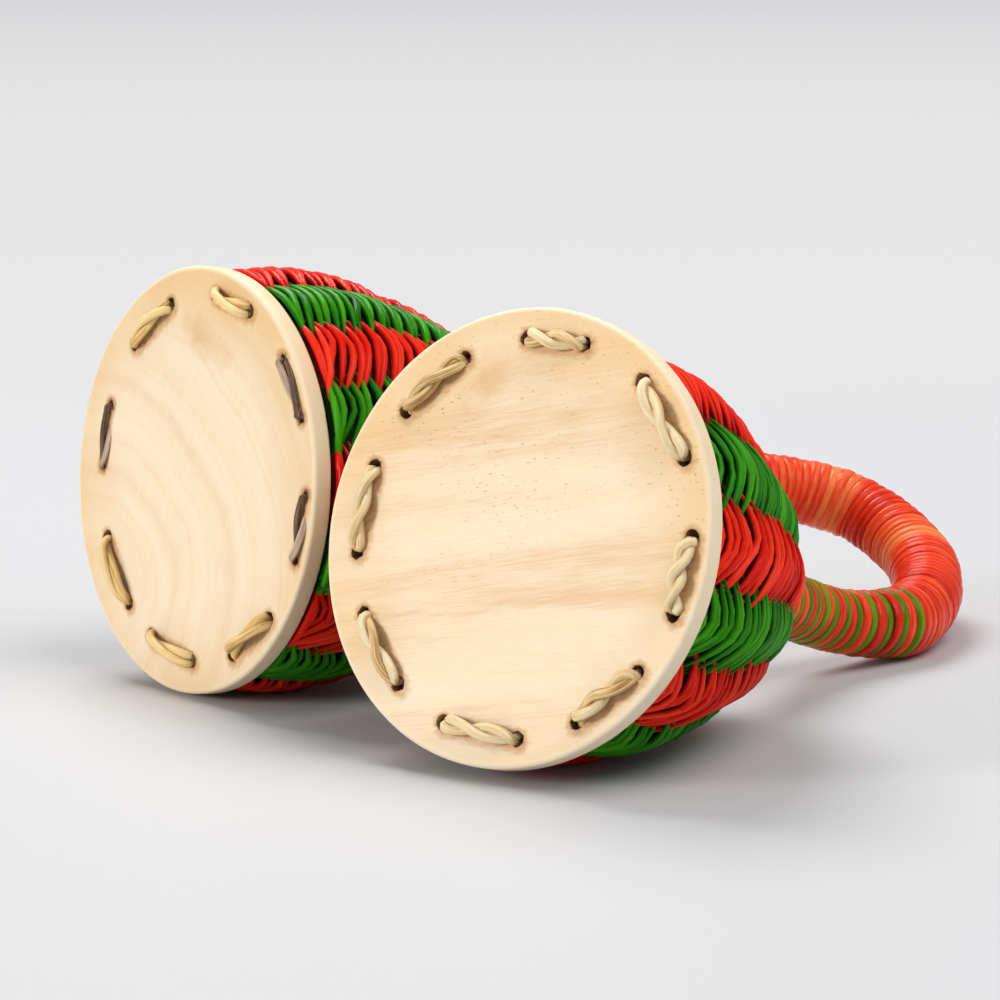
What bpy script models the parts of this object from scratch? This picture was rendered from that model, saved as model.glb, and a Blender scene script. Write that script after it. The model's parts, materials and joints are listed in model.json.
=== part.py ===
# Double caxixi: two woven shaker baskets with stitched wooden bases and one shared, wrapped handle.
# Metres, +Z up. +Y runs from the bases to the handle, and +X is the right basket's side.
# The origin is at the bottom centre of the whole instrument, on the surface that it lies on.

import math

import bmesh
import bpy
from mathutils import Matrix, Vector

# Bases
DISC_THICKNESS = 0.0044
DISC_EDGE_ROUND = 0.0012
DISC_SEGMENTS = 48
DISC_MIDDLE_RADIUS = 0.030
TOUCH_GAP = 0.0003

# Each basket: where its axis meets the back of its base, how it is turned and tilted, its size,
# how far its base sits off the axis (across, down), its stakes, and where its stitches are.
# Angles about the axis run clockwise from the right-hand side, as seen from outside the base.
BASKETS = {
    "right": {
        "axis_place": (0.0569, -0.0046),
        "turn_deg": 9.8,
        "tilt_deg": 15.7,
        "length": 0.075,
        "belly_radius": 0.0413,
        "disc_radius": 0.0441,
        "disc_shift": (-0.0017, 0.0),
        "stake_count": 16,
        "first_stake_deg": -5.5,
        "stitch_deg": (-133.0, -88.5, -41.5, 5.5, 47.5, 93.0, 139.0, 183.0),
    },
    "left": {
        "axis_place": (-0.0401, -0.0015),
        "turn_deg": -6.2,
        "tilt_deg": 5.6,
        "length": 0.0845,
        "belly_radius": 0.0446,
        "disc_radius": 0.0447,
        "disc_shift": (-0.0034, 0.0009),
        "stake_count": 18,
        "first_stake_deg": -3.0,
        "stitch_deg": (-126.5, -79.0, -35.0, 9.0, 53.5, 100.0, 141.5, 187.5),
    },
}

# Wall outline: fraction of the basket's length from its base, fraction of the belly radius
WALL_OUTLINE = (
    (0.00, 0.975),
    (0.12, 1.000),
    (0.25, 0.985),
    (0.40, 0.910),
    (0.55, 0.815),
    (0.70, 0.690),
    (0.85, 0.475),
    (1.00, 0.226),
)
WALL_THICKNESS = 0.0022
WALL_SEGMENTS = 36
WALL_ROWS = 9

# The wall's rim is turned in behind the base, and the stitches hold it there.
RIM_INNER_RADIUS = 0.0350
RIM_HEIGHT = 0.0026

STITCH_CIRCLE_RADIUS = 0.0383
STITCH_SPAN = 0.0160
STITCH_RADIUS = 0.0010
STITCH_BEND = 0.0015
STITCH_BEND_STEPS = 2
HOLE_RADIUS = 0.00145
HOLE_SEGMENTS = 8

STAKE_RADIUS = 0.0010
STAKE_GAP = 0.0006
STAKE_END = 0.950
STAKE_POINTS = 5

SEED_RADIUS = 0.0036
SEED_PITCH = 0.0048
SEED_START = 0.026
SEED_GAP = 0.0006
SEED_ROWS = 3
SEEDS_ACROSS = 4

# Handle
CORE_RADIUS = 0.0056
CORE_SEAT = 0.012
CORE_CLEARANCE = 0.0005
CORE_POINTS = 40
NECK_RUN = 0.008
WRAP_RADIUS = 0.0010
WRAP_BEND = 0.0012
WRAP_BEND_STEPS = 4
POINTS_PER_TURN = 24
RED_TURNS = 19
GREEN_TURNS = 4

# Middle of the handle, placed by hand from the right basket's neck round to the left one's.
# X and Y are from a point between the bases, Z from the surface below.
HANDLE_ROUTE = (
    (0.0365, 0.0935, 0.0162),
    (0.0344, 0.1070, 0.0118),
    (0.0345, 0.1200, 0.0091),
    (0.0332, 0.1325, 0.0079),
    (0.0279, 0.1454, 0.0084),
    (0.0190, 0.1587, 0.0105),
    (0.0078, 0.1695, 0.0138),
    (-0.0050, 0.1752, 0.0182),
    (-0.0170, 0.1740, 0.0236),
    (-0.0270, 0.1645, 0.0275),
    (-0.0322, 0.1490, 0.0302),
    (-0.0336, 0.1330, 0.0328),
    (-0.0328, 0.1150, 0.0354),
)
ROUTE_SAMPLES = 600

GRASS_RED = (0.72, 0.026, 0.013)
GRASS_GREEN = (0.017, 0.223, 0.010)
GRASS_STRAW = (0.60, 0.45, 0.22)
WOOD_PALE = (0.85, 0.66, 0.40)
SEED_BROWN = (0.16, 0.07, 0.03)
STAKE_TAN = (0.42, 0.29, 0.13)


def clear_scene():
    for old in list(bpy.data.objects):
        bpy.data.objects.remove(old)


def finish(name, colour, roughness):
    made = bpy.data.materials.new(name)
    made.use_nodes = True
    shader = made.node_tree.nodes["Principled BSDF"]
    shader.inputs["Base Color"].default_value = (*colour, 1.0)
    shader.inputs["Roughness"].default_value = roughness
    shader.inputs["Metallic"].default_value = 0.0
    return made


def empty(name, parent=None):
    made = bpy.data.objects.new(name, None)
    bpy.context.collection.objects.link(made)
    made.parent = parent
    return made


def mesh_object(name, shape, material, parent):
    bmesh.ops.recalc_face_normals(shape, faces=shape.faces)
    mesh = bpy.data.meshes.new(name)
    shape.to_mesh(mesh)
    shape.free()
    mesh.materials.append(material)
    mesh.shade_smooth()
    mesh.set_sharp_from_angle(angle=math.radians(40))
    made = bpy.data.objects.new(name, mesh)
    bpy.context.collection.objects.link(made)
    made.parent = parent
    return made


def helper_object(name, shape, parent):
    """A mesh that only cuts or joins another one, and isn't a piece itself."""
    mesh = bpy.data.meshes.new(name)
    shape.to_mesh(mesh)
    shape.free()
    made = bpy.data.objects.new(name, mesh)
    bpy.context.collection.objects.link(made)
    made.parent = parent
    made.hide_render = True
    made.display_type = "WIRE"
    return made


def rod(name, path, radius, bevel_steps, material, parent):
    """A closed round rod along a path; 0 bevel steps give it 4 sides, and each step adds 2."""
    curve = bpy.data.curves.new(name, "CURVE")
    curve.dimensions = "3D"
    curve.bevel_depth = radius
    curve.bevel_resolution = bevel_steps
    curve.use_fill_caps = True
    spline = curve.splines.new("POLY")
    spline.points.add(len(path) - 1)
    for point, place in zip(spline.points, path):
        point.co = (*place, 1.0)
    spline.use_smooth = True
    curve.materials.append(material)
    made = bpy.data.objects.new(name, curve)
    bpy.context.collection.objects.link(made)
    made.parent = parent
    return made


def hermite(start, end, leave, arrive, share):
    """A place between two others, with the directions in which the curve leaves and arrives."""
    square, cube = share ** 2, share ** 3
    return (
        start * (2 * cube - 3 * square + 1)
        + leave * (cube - 2 * square + share)
        + end * (3 * square - 2 * cube)
        + arrive * (cube - square)
    )


# Basket wall

def outline_slope(knot):
    before = WALL_OUTLINE[max(knot - 1, 0)]
    after = WALL_OUTLINE[min(knot + 1, len(WALL_OUTLINE) - 1)]
    return (after[1] - before[1]) / (after[0] - before[0])


def wall_radius(basket, height):
    """Outer radius of the wall at a height above the back of the base."""
    fraction = height / basket["length"]
    knot = 0
    while knot < len(WALL_OUTLINE) - 2 and WALL_OUTLINE[knot + 1][0] < fraction:
        knot += 1
    low, high = WALL_OUTLINE[knot], WALL_OUTLINE[knot + 1]
    step = high[0] - low[0]
    share = hermite(
        low[1], high[1],
        outline_slope(knot) * step, outline_slope(knot + 1) * step,
        (fraction - low[0]) / step,
    )
    return basket["belly_radius"] * share


def depth_radius(basket, height, depth):
    """Radius at a depth inside the wall's outer face, measured square to that face."""
    step = basket["length"] / 500
    rise = wall_radius(basket, min(height + step, basket["length"])) - wall_radius(basket, height - step)
    slope = rise / (2 * step)
    return wall_radius(basket, height) - depth * math.sqrt(1 + slope * slope)


def inner_radius(basket, height):
    return max(depth_radius(basket, height, WALL_THICKNESS), CORE_RADIUS + CORE_CLEARANCE)


def turned(name, profile, segments, material, parent):
    """A ring turned about the local Z axis from a closed outline of radius and height."""
    shape = bmesh.new()
    corners = [shape.verts.new((radius, 0.0, height)) for radius, height in profile]
    edges = [shape.edges.new(pair) for pair in zip(corners, corners[1:] + corners[:1])]
    bmesh.ops.spin(
        shape, geom=corners + edges, cent=(0, 0, 0), axis=(0, 0, 1),
        angle=2 * math.pi, steps=segments, use_merge=True,
    )
    bmesh.ops.remove_doubles(shape, verts=shape.verts, dist=1e-6)
    return mesh_object(name, shape, material, parent)


def rim_top():
    return TOUCH_GAP + RIM_HEIGHT


def basket_wall(name, basket, material, parent):
    """A shell from the neck down to the rim, which turns in behind the base."""
    heights = [
        rim_top() + (basket["length"] - rim_top()) * row / WALL_ROWS
        for row in range(WALL_ROWS + 1)
    ]
    outside = [(wall_radius(basket, height), height) for height in [TOUCH_GAP] + heights]
    inside = [(inner_radius(basket, height), height) for height in heights]
    rim = [(RIM_INNER_RADIUS, rim_top()), (RIM_INNER_RADIUS, TOUCH_GAP)]
    return turned(name, outside + inside[::-1] + rim, WALL_SEGMENTS, material, parent)


def stake_path(basket, angle):
    first, last = rim_top() + TOUCH_GAP, STAKE_END * basket["length"]
    depth = WALL_THICKNESS + STAKE_GAP + STAKE_RADIUS
    path = []
    for step in range(STAKE_POINTS):
        height = first + (last - first) * step / (STAKE_POINTS - 1)
        radius = depth_radius(basket, height, depth)
        path.append((radius * math.cos(angle), radius * math.sin(angle), height))
    return path


# Base and stitches

def stitch_holes(basket):
    """Both hole centres of every stitch, about the basket's axis."""
    half = math.asin(STITCH_SPAN / 2 / STITCH_CIRCLE_RADIUS)
    pairs = []
    for degrees in basket["stitch_deg"]:
        middle = math.radians(degrees)
        pairs.append([
            Vector((math.cos(angle), math.sin(angle), 0)) * STITCH_CIRCLE_RADIUS
            for angle in (middle - half, middle + half)
        ])
    return pairs


def hole_cutter(name, basket, parent):
    """Straight holes through the base and the rim behind it."""
    shape = bmesh.new()
    high, low = rim_top() + TOUCH_GAP, -2 * DISC_THICKNESS
    for pair in stitch_holes(basket):
        for centre in pair:
            bmesh.ops.create_cone(
                shape, cap_ends=True, segments=HOLE_SEGMENTS,
                radius1=HOLE_RADIUS, radius2=HOLE_RADIUS, depth=high - low,
                matrix=Matrix.Translation(centre + Vector((0, 0, (high + low) / 2))),
            )
    return helper_object(name, shape, parent)


def combine(target, helper, operation):
    change = target.modifiers.new(helper.name, "BOOLEAN")
    change.operation = operation
    change.object = helper


def base_disc(name, basket, material, parent):
    """A rounded disc whose outer face has a plain middle, inside the ring of stitches."""
    shape = bmesh.new()
    radius = basket["disc_radius"]
    middle = Matrix.Translation((*basket["disc_shift"], -DISC_THICKNESS / 2))
    bmesh.ops.create_cone(
        shape, cap_ends=True, segments=DISC_SEGMENTS,
        radius1=radius, radius2=radius, depth=DISC_THICKNESS, matrix=middle,
    )
    rims = [edge for edge in shape.edges if abs(edge.verts[0].co.z - edge.verts[1].co.z) < TOUCH_GAP]
    bmesh.ops.bevel(
        shape, geom=rims, offset=DISC_EDGE_ROUND, affect="EDGES",
        segments=2, profile=0.5, material=-1,
    )
    outer_face = min(shape.faces, key=lambda face: face.calc_center_median().z)
    bmesh.ops.inset_region(
        shape, faces=[outer_face], thickness=radius - DISC_EDGE_ROUND - DISC_MIDDLE_RADIUS,
    )
    return mesh_object(name, shape, material, parent)


def stitch_path(first, second):
    """Up through the first hole, over the base's outer face and down through the second."""
    along = (second - first).normalized()
    face = -DISC_THICKNESS
    path = [first + Vector((0, 0, rim_top()))]
    for step in range(STITCH_BEND_STEPS + 1):
        turn = math.pi / 2 * step / STITCH_BEND_STEPS
        over = along * STITCH_BEND * (1 - math.cos(turn))
        path.append(first + over + Vector((0, 0, face - STITCH_BEND * math.sin(turn))))
    back = [second - (place - first).dot(along) * along + Vector((0, 0, place.z)) for place in path]
    return path + back[::-1]


# Seeds

def seed_bed(name, basket, material, parent):
    """Loose seeds along the lowest stakes, pressed together into one bed like the squares of a board."""
    halves = [bmesh.new(), bmesh.new()]
    lowest_angle = math.pi / 2
    clear = WALL_THICKNESS + STAKE_GAP + 2 * STAKE_RADIUS + SEED_GAP + SEED_RADIUS
    for row in range(SEED_ROWS):
        height = SEED_START + SEED_PITCH * row
        radius = depth_radius(basket, height, clear)
        for place in range(SEEDS_ACROSS):
            angle = lowest_angle + (place - (SEEDS_ACROSS - 1) / 2) * SEED_PITCH / radius
            centre = (radius * math.cos(angle), radius * math.sin(angle), height)
            bmesh.ops.create_icosphere(
                halves[(row + place) % 2], subdivisions=1, radius=SEED_RADIUS,
                matrix=Matrix.Translation(centre),
            )
    bed = mesh_object(name, halves[0], material, parent)
    combine(bed, helper_object(name + "_other_half", halves[1], parent), "UNION")
    return bed


# Handle

class Route:
    """A smooth line through the handle's points, read by the length along it."""

    def __init__(self, points):
        self.places = []
        spans = len(points) - 1
        for sample in range(ROUTE_SAMPLES + 1):
            position = spans * sample / ROUTE_SAMPLES
            self.places.append(self.between(points, position))
        self.lengths = [0.0]
        for first, second in zip(self.places, self.places[1:]):
            self.lengths.append(self.lengths[-1] + (second - first).length)
        self.sides = self.carry_sides()

    @staticmethod
    def between(points, position):
        knot = min(int(position), len(points) - 2)
        start, end = points[knot], points[knot + 1]
        before = points[knot - 1] if knot > 0 else 2 * start - end
        after = points[knot + 2] if knot + 2 < len(points) else 2 * end - start
        return hermite(start, end, (end - before) / 2, (after - start) / 2, position - knot)

    def direction(self, sample):
        low, high = max(sample - 1, 0), min(sample + 1, ROUTE_SAMPLES)
        return (self.places[high] - self.places[low]).normalized()

    def carry_sides(self):
        """A sideways direction at every sample, carried along without twist."""
        side = self.direction(0).cross(Vector((0, 0, 1))).normalized()
        sides = []
        for sample in range(ROUTE_SAMPLES + 1):
            ahead = self.direction(sample)
            side = (side - side.dot(ahead) * ahead).normalized()
            sides.append(side)
        return sides

    def sample_at(self, length):
        low, high = 0, ROUTE_SAMPLES
        while high - low > 1:
            middle = (low + high) // 2
            if self.lengths[middle] <= length:
                low = middle
            else:
                high = middle
        share = (length - self.lengths[low]) / (self.lengths[high] - self.lengths[low])
        return low, high, share

    def place(self, length):
        low, high, share = self.sample_at(length)
        return self.places[low].lerp(self.places[high], share)

    def around(self, length, angle, radius):
        """A place beside the line, at an angle about it."""
        low, high, share = self.sample_at(length)
        ahead = self.direction(low).lerp(self.direction(high), share).normalized()
        side = self.sides[low].lerp(self.sides[high], share)
        side = (side - side.dot(ahead) * ahead).normalized()
        out = side * math.cos(angle) + ahead.cross(side) * math.sin(angle)
        return self.places[low].lerp(self.places[high], share) + out * radius


def wrap_radius():
    return CORE_RADIUS + TOUCH_GAP + WRAP_RADIUS


def wrap_pitch(room, turns):
    """Step of a strand that fills the room between two seats, less its straight and bent ends."""
    return (room - 2 * (2 * WRAP_RADIUS + WRAP_BEND)) / turns


def winding(route, begin, pitch, turns, start_angle):
    """One unbroken strand round the core: straight out of its seat, round and round, straight again."""
    radius = wrap_radius()
    round_once = 2 * math.pi * radius
    slope = math.atan(pitch / round_once)
    end_run = []
    for step in range(WRAP_BEND_STEPS + 1):
        turn = (math.pi / 2 - slope) * step / WRAP_BEND_STEPS
        end_run.append((2 * WRAP_RADIUS + WRAP_BEND * math.sin(turn), WRAP_BEND * (1 - math.cos(turn))))
    run_length, run_width = end_run[-1]
    whole_length = 2 * run_length + pitch * turns
    whole_width = 2 * run_width + round_once * turns
    unrolled = [(0.0, 0.0)] + end_run
    for step in range(1, turns * POINTS_PER_TURN):
        share = step / POINTS_PER_TURN
        unrolled.append((run_length + pitch * share, run_width + round_once * share))
    unrolled += [(whole_length - length, whole_width - width) for length, width in reversed(end_run)]
    unrolled.append((whole_length, whole_width))
    return [
        route.around(begin + length, start_angle + width / radius, radius)
        for length, width in unrolled
    ]


def least_gap(path, other=None):
    """Least clear distance of a strand to its own next turns, or to another strand."""
    skip = POINTS_PER_TURN // 2
    least = math.inf
    for number, place in enumerate(path):
        for rival in (other if other else path[number + skip:]):
            least = min(least, (rival - place).length)
    return least - 2 * WRAP_RADIUS


# Assembly

def basket_frame(name, basket, root):
    """An empty at the middle of the base's back face, with its Z axis towards the basket's tip."""
    frame = empty(name, root)
    frame.rotation_euler = (
        -math.radians(90 + basket["tilt_deg"]), 0, math.radians(basket["turn_deg"]),
    )
    frame.location = (*basket["axis_place"], 0)
    return frame


def world_points(objects):
    graph = bpy.context.evaluated_depsgraph_get()
    places = []
    for made in objects:
        ready = made.evaluated_get(graph)
        places += [ready.matrix_world @ vertex.co for vertex in ready.to_mesh().vertices]
        ready.to_mesh_clear()
    return places


def lowest(objects):
    return min(place.z for place in world_points(objects))


def build_basket(side, finishes, root):
    basket = BASKETS[side]
    frame = basket_frame(side + "_basket_axis", basket, root)
    cutter = hole_cutter(side + "_stitch_hole_cutter", basket, frame)
    disc = base_disc(side + "_base_disc", basket, finishes["wood"], frame)
    wall = basket_wall(side + "_basket", basket, finishes["red"], frame)
    combine(disc, cutter, "DIFFERENCE")
    combine(wall, cutter, "DIFFERENCE")
    made = [disc, wall]
    made.append(seed_bed(side + "_seeds", basket, finishes["seed"], frame))
    for number in range(basket["stake_count"]):
        angle = math.radians(basket["first_stake_deg"] + 360 * number / basket["stake_count"])
        path = stake_path(basket, angle)
        made.append(rod(f"{side}_stake_{number + 1}", path, STAKE_RADIUS, 0, finishes["stake"], frame))
    for number, (first, second) in enumerate(stitch_holes(basket), start=1):
        path = stitch_path(first, second)
        made.append(rod(f"{side}_stitch_{number}", path, STITCH_RADIUS, 1, finishes["straw"], frame))
    bpy.context.view_layer.update()
    frame.location.z -= lowest([disc, wall])
    bpy.context.view_layer.update()
    return frame, made


def build_handle(frames, finishes, root):
    seats, tips, necks = {}, {}, {}
    for side, frame in frames.items():
        length = BASKETS[side]["length"]
        seats[side] = frame.matrix_world @ Vector((0, 0, length - CORE_SEAT))
        tips[side] = frame.matrix_world @ Vector((0, 0, length))
        necks[side] = frame.matrix_world @ Vector((0, 0, length + NECK_RUN))
    points = [seats["right"], tips["right"], necks["right"]]
    points += [Vector(place) for place in HANDLE_ROUTE]
    points += [necks["left"], tips["left"], seats["left"]]
    route = Route(points)
    whole = route.lengths[-1]
    core_path = [route.place(whole * step / (CORE_POINTS - 1)) for step in range(CORE_POINTS)]
    core = rod("handle_core", core_path, CORE_RADIUS, 2, finishes["stake"], root)

    begin = CORE_SEAT + TOUCH_GAP
    pitch = wrap_pitch(whole - 2 * begin, RED_TURNS)
    red_path = winding(route, begin, pitch, RED_TURNS, 0.0)
    green_path = winding(route, begin, pitch, GREEN_TURNS, math.pi)
    print("least gap in the red winding, mm:", round(least_gap(red_path) * 1000, 2))
    print("least gap in the green winding, mm:", round(least_gap(green_path) * 1000, 2))
    print("least gap from red to green, mm:", round(least_gap(green_path, red_path) * 1000, 2))
    red = rod("handle_wrap_red", red_path, WRAP_RADIUS, 1, finishes["red"], root)
    green = rod("handle_wrap_green", green_path, WRAP_RADIUS, 1, finishes["green"], root)
    return [core, red, green]


def main():
    clear_scene()
    finishes = {
        "red": finish("red_grass", GRASS_RED, 0.45),
        "green": finish("green_grass", GRASS_GREEN, 0.45),
        "straw": finish("straw_cord", GRASS_STRAW, 0.6),
        "wood": finish("pale_wood", WOOD_PALE, 0.55),
        "seed": finish("brown_seed", SEED_BROWN, 0.5),
        "stake": finish("cane_stake", STAKE_TAN, 0.6),
    }
    root = empty("caxixi_origin")
    frames, made = {}, []
    for side in BASKETS:
        frames[side], pieces = build_basket(side, finishes, root)
        made += pieces
    handle = build_handle(frames, finishes, root)
    print("handle's lowest point, mm:", round(lowest(handle) * 1000, 3))
    made += handle
    places = world_points(made)
    low = Vector([min(place[axis] for place in places) for axis in range(3)])
    high = Vector([max(place[axis] for place in places) for axis in range(3)])
    root.location = (-(low.x + high.x) / 2, -(low.y + high.y) / 2, -low.z)
    bpy.context.view_layer.update()
    print("overall size, mm:", [round(size * 1000, 1) for size in high - low])
    print("point between the bases:", [round(value, 5) for value in root.location])
    for side, frame in frames.items():
        ahead = frame.matrix_world.to_3x3() @ Vector((0, 0, 1))
        face = frame.matrix_world @ Vector((*BASKETS[side]["disc_shift"], -DISC_THICKNESS))
        print(side, "base face", [round(v, 5) for v in face], "axis to tip", [round(v, 5) for v in ahead])


main()
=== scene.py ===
import bisect
import json
import math
import random

import bmesh
import bpy
from mathutils import Matrix, Vector, noise


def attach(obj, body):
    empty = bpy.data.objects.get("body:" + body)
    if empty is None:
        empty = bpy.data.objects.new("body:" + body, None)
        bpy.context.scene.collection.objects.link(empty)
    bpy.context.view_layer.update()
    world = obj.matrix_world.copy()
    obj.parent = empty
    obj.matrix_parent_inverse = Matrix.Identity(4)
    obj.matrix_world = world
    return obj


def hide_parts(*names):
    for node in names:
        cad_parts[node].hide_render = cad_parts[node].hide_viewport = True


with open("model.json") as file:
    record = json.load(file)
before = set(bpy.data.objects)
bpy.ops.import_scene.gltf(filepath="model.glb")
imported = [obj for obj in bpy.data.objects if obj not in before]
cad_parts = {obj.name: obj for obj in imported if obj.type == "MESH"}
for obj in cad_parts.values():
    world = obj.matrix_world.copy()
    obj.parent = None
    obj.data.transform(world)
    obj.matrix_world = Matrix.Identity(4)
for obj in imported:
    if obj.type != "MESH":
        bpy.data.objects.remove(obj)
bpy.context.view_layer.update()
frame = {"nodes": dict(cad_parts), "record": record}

cameraView = {
    "place": (0.54483, -0.56832, 0.1572),
    "turnDeg": 46.073,
    "downDeg": 8.65,
    "lens": 133.06,
    "sensorWidth": 36.0,
    "clipEnd": 80.0,
}


def setCamera():
    data = bpy.data.cameras.new("photoCamera")
    data.lens = cameraView["lens"]
    data.sensor_width = cameraView["sensorWidth"]
    data.clip_end = cameraView["clipEnd"]
    camera = bpy.data.objects.new("photoCamera", data)
    camera.location = cameraView["place"]
    tip = math.radians(90.0 - cameraView["downDeg"])
    camera.rotation_euler = (tip, 0.0, math.radians(cameraView["turnDeg"]))
    bpy.context.scene.collection.objects.link(camera)
    bpy.context.scene.camera = camera


setCamera()
print("camera set")


# finishes: small helpers for the node trees

def newFinish(name):
    finish = bpy.data.materials.new(name)
    finish.use_nodes = True
    tree = finish.node_tree
    shader = tree.nodes["Principled BSDF"]
    return finish, tree, shader


def addNode(tree, kind, **values):
    node = tree.nodes.new(kind)
    for key, value in values.items():
        setattr(node, key, value)
    return node


def colourRamp(tree, value, spots, colours, interpolation="LINEAR"):
    ramp = addNode(tree, "ShaderNodeValToRGB")
    ramp.color_ramp.interpolation = interpolation
    elements = ramp.color_ramp.elements
    while len(elements) < len(spots):
        elements.new(0.5)
    for element, spot, colour in zip(elements, spots, colours):
        element.position = spot
        element.color = (*colour, 1.0)
    tree.links.new(value, ramp.inputs["Fac"])
    return ramp.outputs["Color"]


def greyRamp(tree, value, low, high, lowShade=0.0, highShade=1.0, interpolation="LINEAR"):
    return colourRamp(tree, value, (low, high), ((lowShade,) * 3, (highShade,) * 3), interpolation)


def noiseNode(tree, source, scale, detail=3.0, roughness=0.5, distortion=0.0):
    node = addNode(tree, "ShaderNodeTexNoise")
    node.inputs["Scale"].default_value = scale
    node.inputs["Detail"].default_value = detail
    node.inputs["Roughness"].default_value = roughness
    node.inputs["Distortion"].default_value = distortion
    tree.links.new(source, node.inputs["Vector"])
    return node.outputs["Fac"]


def stretched(tree, source, scale, place=(0, 0, 0), turn=(0, 0, 0), kind="POINT"):
    node = addNode(tree, "ShaderNodeMapping", vector_type=kind)
    node.inputs["Location"].default_value = place
    node.inputs["Rotation"].default_value = turn
    node.inputs["Scale"].default_value = scale
    tree.links.new(source, node.inputs["Vector"])
    return node.outputs["Vector"]


def mathNode(tree, operation, first, second=None, clamp=False):
    node = addNode(tree, "ShaderNodeMath", operation=operation, use_clamp=clamp)
    for socket, value in zip(node.inputs, (first, second)):
        if value is None:
            continue
        if isinstance(value, (int, float)):
            socket.default_value = value
        else:
            tree.links.new(value, socket)
    return node.outputs["Value"]


def weighted(tree, values, weights):
    parts = [mathNode(tree, "MULTIPLY", value, weight) for value, weight in zip(values, weights)]
    total = parts[0]
    for part in parts[1:]:
        total = mathNode(tree, "ADD", total, part)
    return total


def lengthOf(tree, source):
    node = addNode(tree, "ShaderNodeVectorMath", operation="LENGTH")
    tree.links.new(source, node.inputs[0])
    return node.outputs["Value"]


def attributeValue(tree, name):
    return addNode(tree, "ShaderNodeAttribute", attribute_name=name).outputs["Fac"]


def mixColour(tree, share, first, second):
    node = addNode(tree, "ShaderNodeMix", data_type="RGBA")
    for name, value in (("Factor_Float", share), ("A_Color", first), ("B_Color", second)):
        socket = next(s for s in node.inputs if s.identifier == name)
        if isinstance(value, (int, float)):
            socket.default_value = value
        elif isinstance(value, tuple):
            socket.default_value = (*value, 1.0)
        else:
            tree.links.new(value, socket)
    return next(s for s in node.outputs if s.identifier == "Result_Color")


def spread(tree, value, low, high):
    node = addNode(tree, "ShaderNodeMapRange")
    node.inputs["To Min"].default_value = low
    node.inputs["To Max"].default_value = high
    tree.links.new(value, node.inputs["Value"])
    return node.outputs["Result"]


def addBump(tree, shader, height, strength, distance):
    bump = addNode(tree, "ShaderNodeBump")
    bump.inputs["Strength"].default_value = strength
    bump.inputs["Distance"].default_value = distance
    tree.links.new(height, bump.inputs["Height"])
    tree.links.new(bump.outputs["Normal"], shader.inputs["Normal"])


def dress(tree, shader, tint, grain, height, setting, gloss):
    tree.links.new(tint, shader.inputs["Base Color"])
    tree.links.new(spread(tree, grain, *setting["roughness"]), shader.inputs["Roughness"])
    shader.inputs["Specular IOR Level"].default_value = gloss
    addBump(tree, shader, height, *setting["bump"])


def strandStreaks(tree, setting):      # broad and fine streaks along a strand
    onStrand = addNode(tree, "ShaderNodeUVMap", uv_map="strand").outputs["UV"]
    streaks = []
    for key, detail, roughness in (("streaks", 4.0, 0.6), ("fineStreaks", 2.0, 0.5)):
        spot = stretched(tree, onStrand, (*setting[key], 1.0))
        streaks.append(noiseNode(tree, spot, 1.0, detail, roughness))
    return streaks


grassColours = {
    # deep, body and bright colour, and gloss
    "red": (((0.42, 0.0035, 0.0012), (0.80, 0.016, 0.006), (0.95, 0.052, 0.021)), 0.07),
    "green": (((0.004, 0.066, 0.0006), (0.021, 0.205, 0.0030), (0.065, 0.375, 0.007)), 0.07),
    "handleRed": (((0.55, 0.010, 0.002), (0.90, 0.056, 0.017), (0.97, 0.245, 0.068)), 0.12),
    "handleGreen": (((0.075, 0.115, 0.002), (0.155, 0.270, 0.004), (0.26, 0.41, 0.016)), 0.10),
    "stops": (0.40, 0.66, 0.96),
    "streaks": (1.8, 7.5),      # along a strand, around it
    "fineStreaks": (5.0, 30.0),
    "patchScale": 55.0,
    "weights": (0.85, 0.34, 0.30, 0.16, -0.24),     # streak, tone, patch, fine streak, painted shading (painted shade darkens, the crown's painted highlight brightens)
    "deeper": 0.125,
    # painted shade on strands: its strongest share, and its tint as a share of the deep colour
    "paintedShadeMost": 0.60,
    "paintedShadeTint": 0.30,
    "roughness": (0.10, 0.22),
    "ridges": (0.7, 0.4),       # how far broad and fine streaks stand out
    "bump": (0.40, 0.0004),
}


def dyedGrass(colour):
    dyes, gloss = grassColours[colour]
    finish, tree, shader = newFinish(colour + "Grass")
    onPiece = addNode(tree, "ShaderNodeTexCoord").outputs["Object"]
    tone, paintedShading = attributeValue(tree, "tone"), attributeValue(tree, "paintedShading")
    streak, fine = strandStreaks(tree, grassColours)
    patch = noiseNode(tree, onPiece, grassColours["patchScale"], 3.0, 0.6)
    dyeAndPaintedLight = weighted(tree, (streak, tone, patch, fine, paintedShading), grassColours["weights"])
    dyeAndPaintedLight = mathNode(tree, "SUBTRACT", dyeAndPaintedLight, grassColours["deeper"])
    tint = colourRamp(tree, dyeAndPaintedLight, grassColours["stops"], dyes)
    # painted shade darkens the sides, underside and ends of each strand; the crown's painted highlight comes
    # in through the mix above
    dark = mathNode(tree, "MULTIPLY", paintedShading, grassColours["paintedShadeMost"], True)
    tint = mixColour(tree, dark, tint, tuple(grassColours["paintedShadeTint"] * channel for channel in dyes[0]))
    ridges = weighted(tree, (streak, fine), grassColours["ridges"])
    dress(tree, shader, tint, fine, ridges, grassColours, gloss)
    return finish


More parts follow.
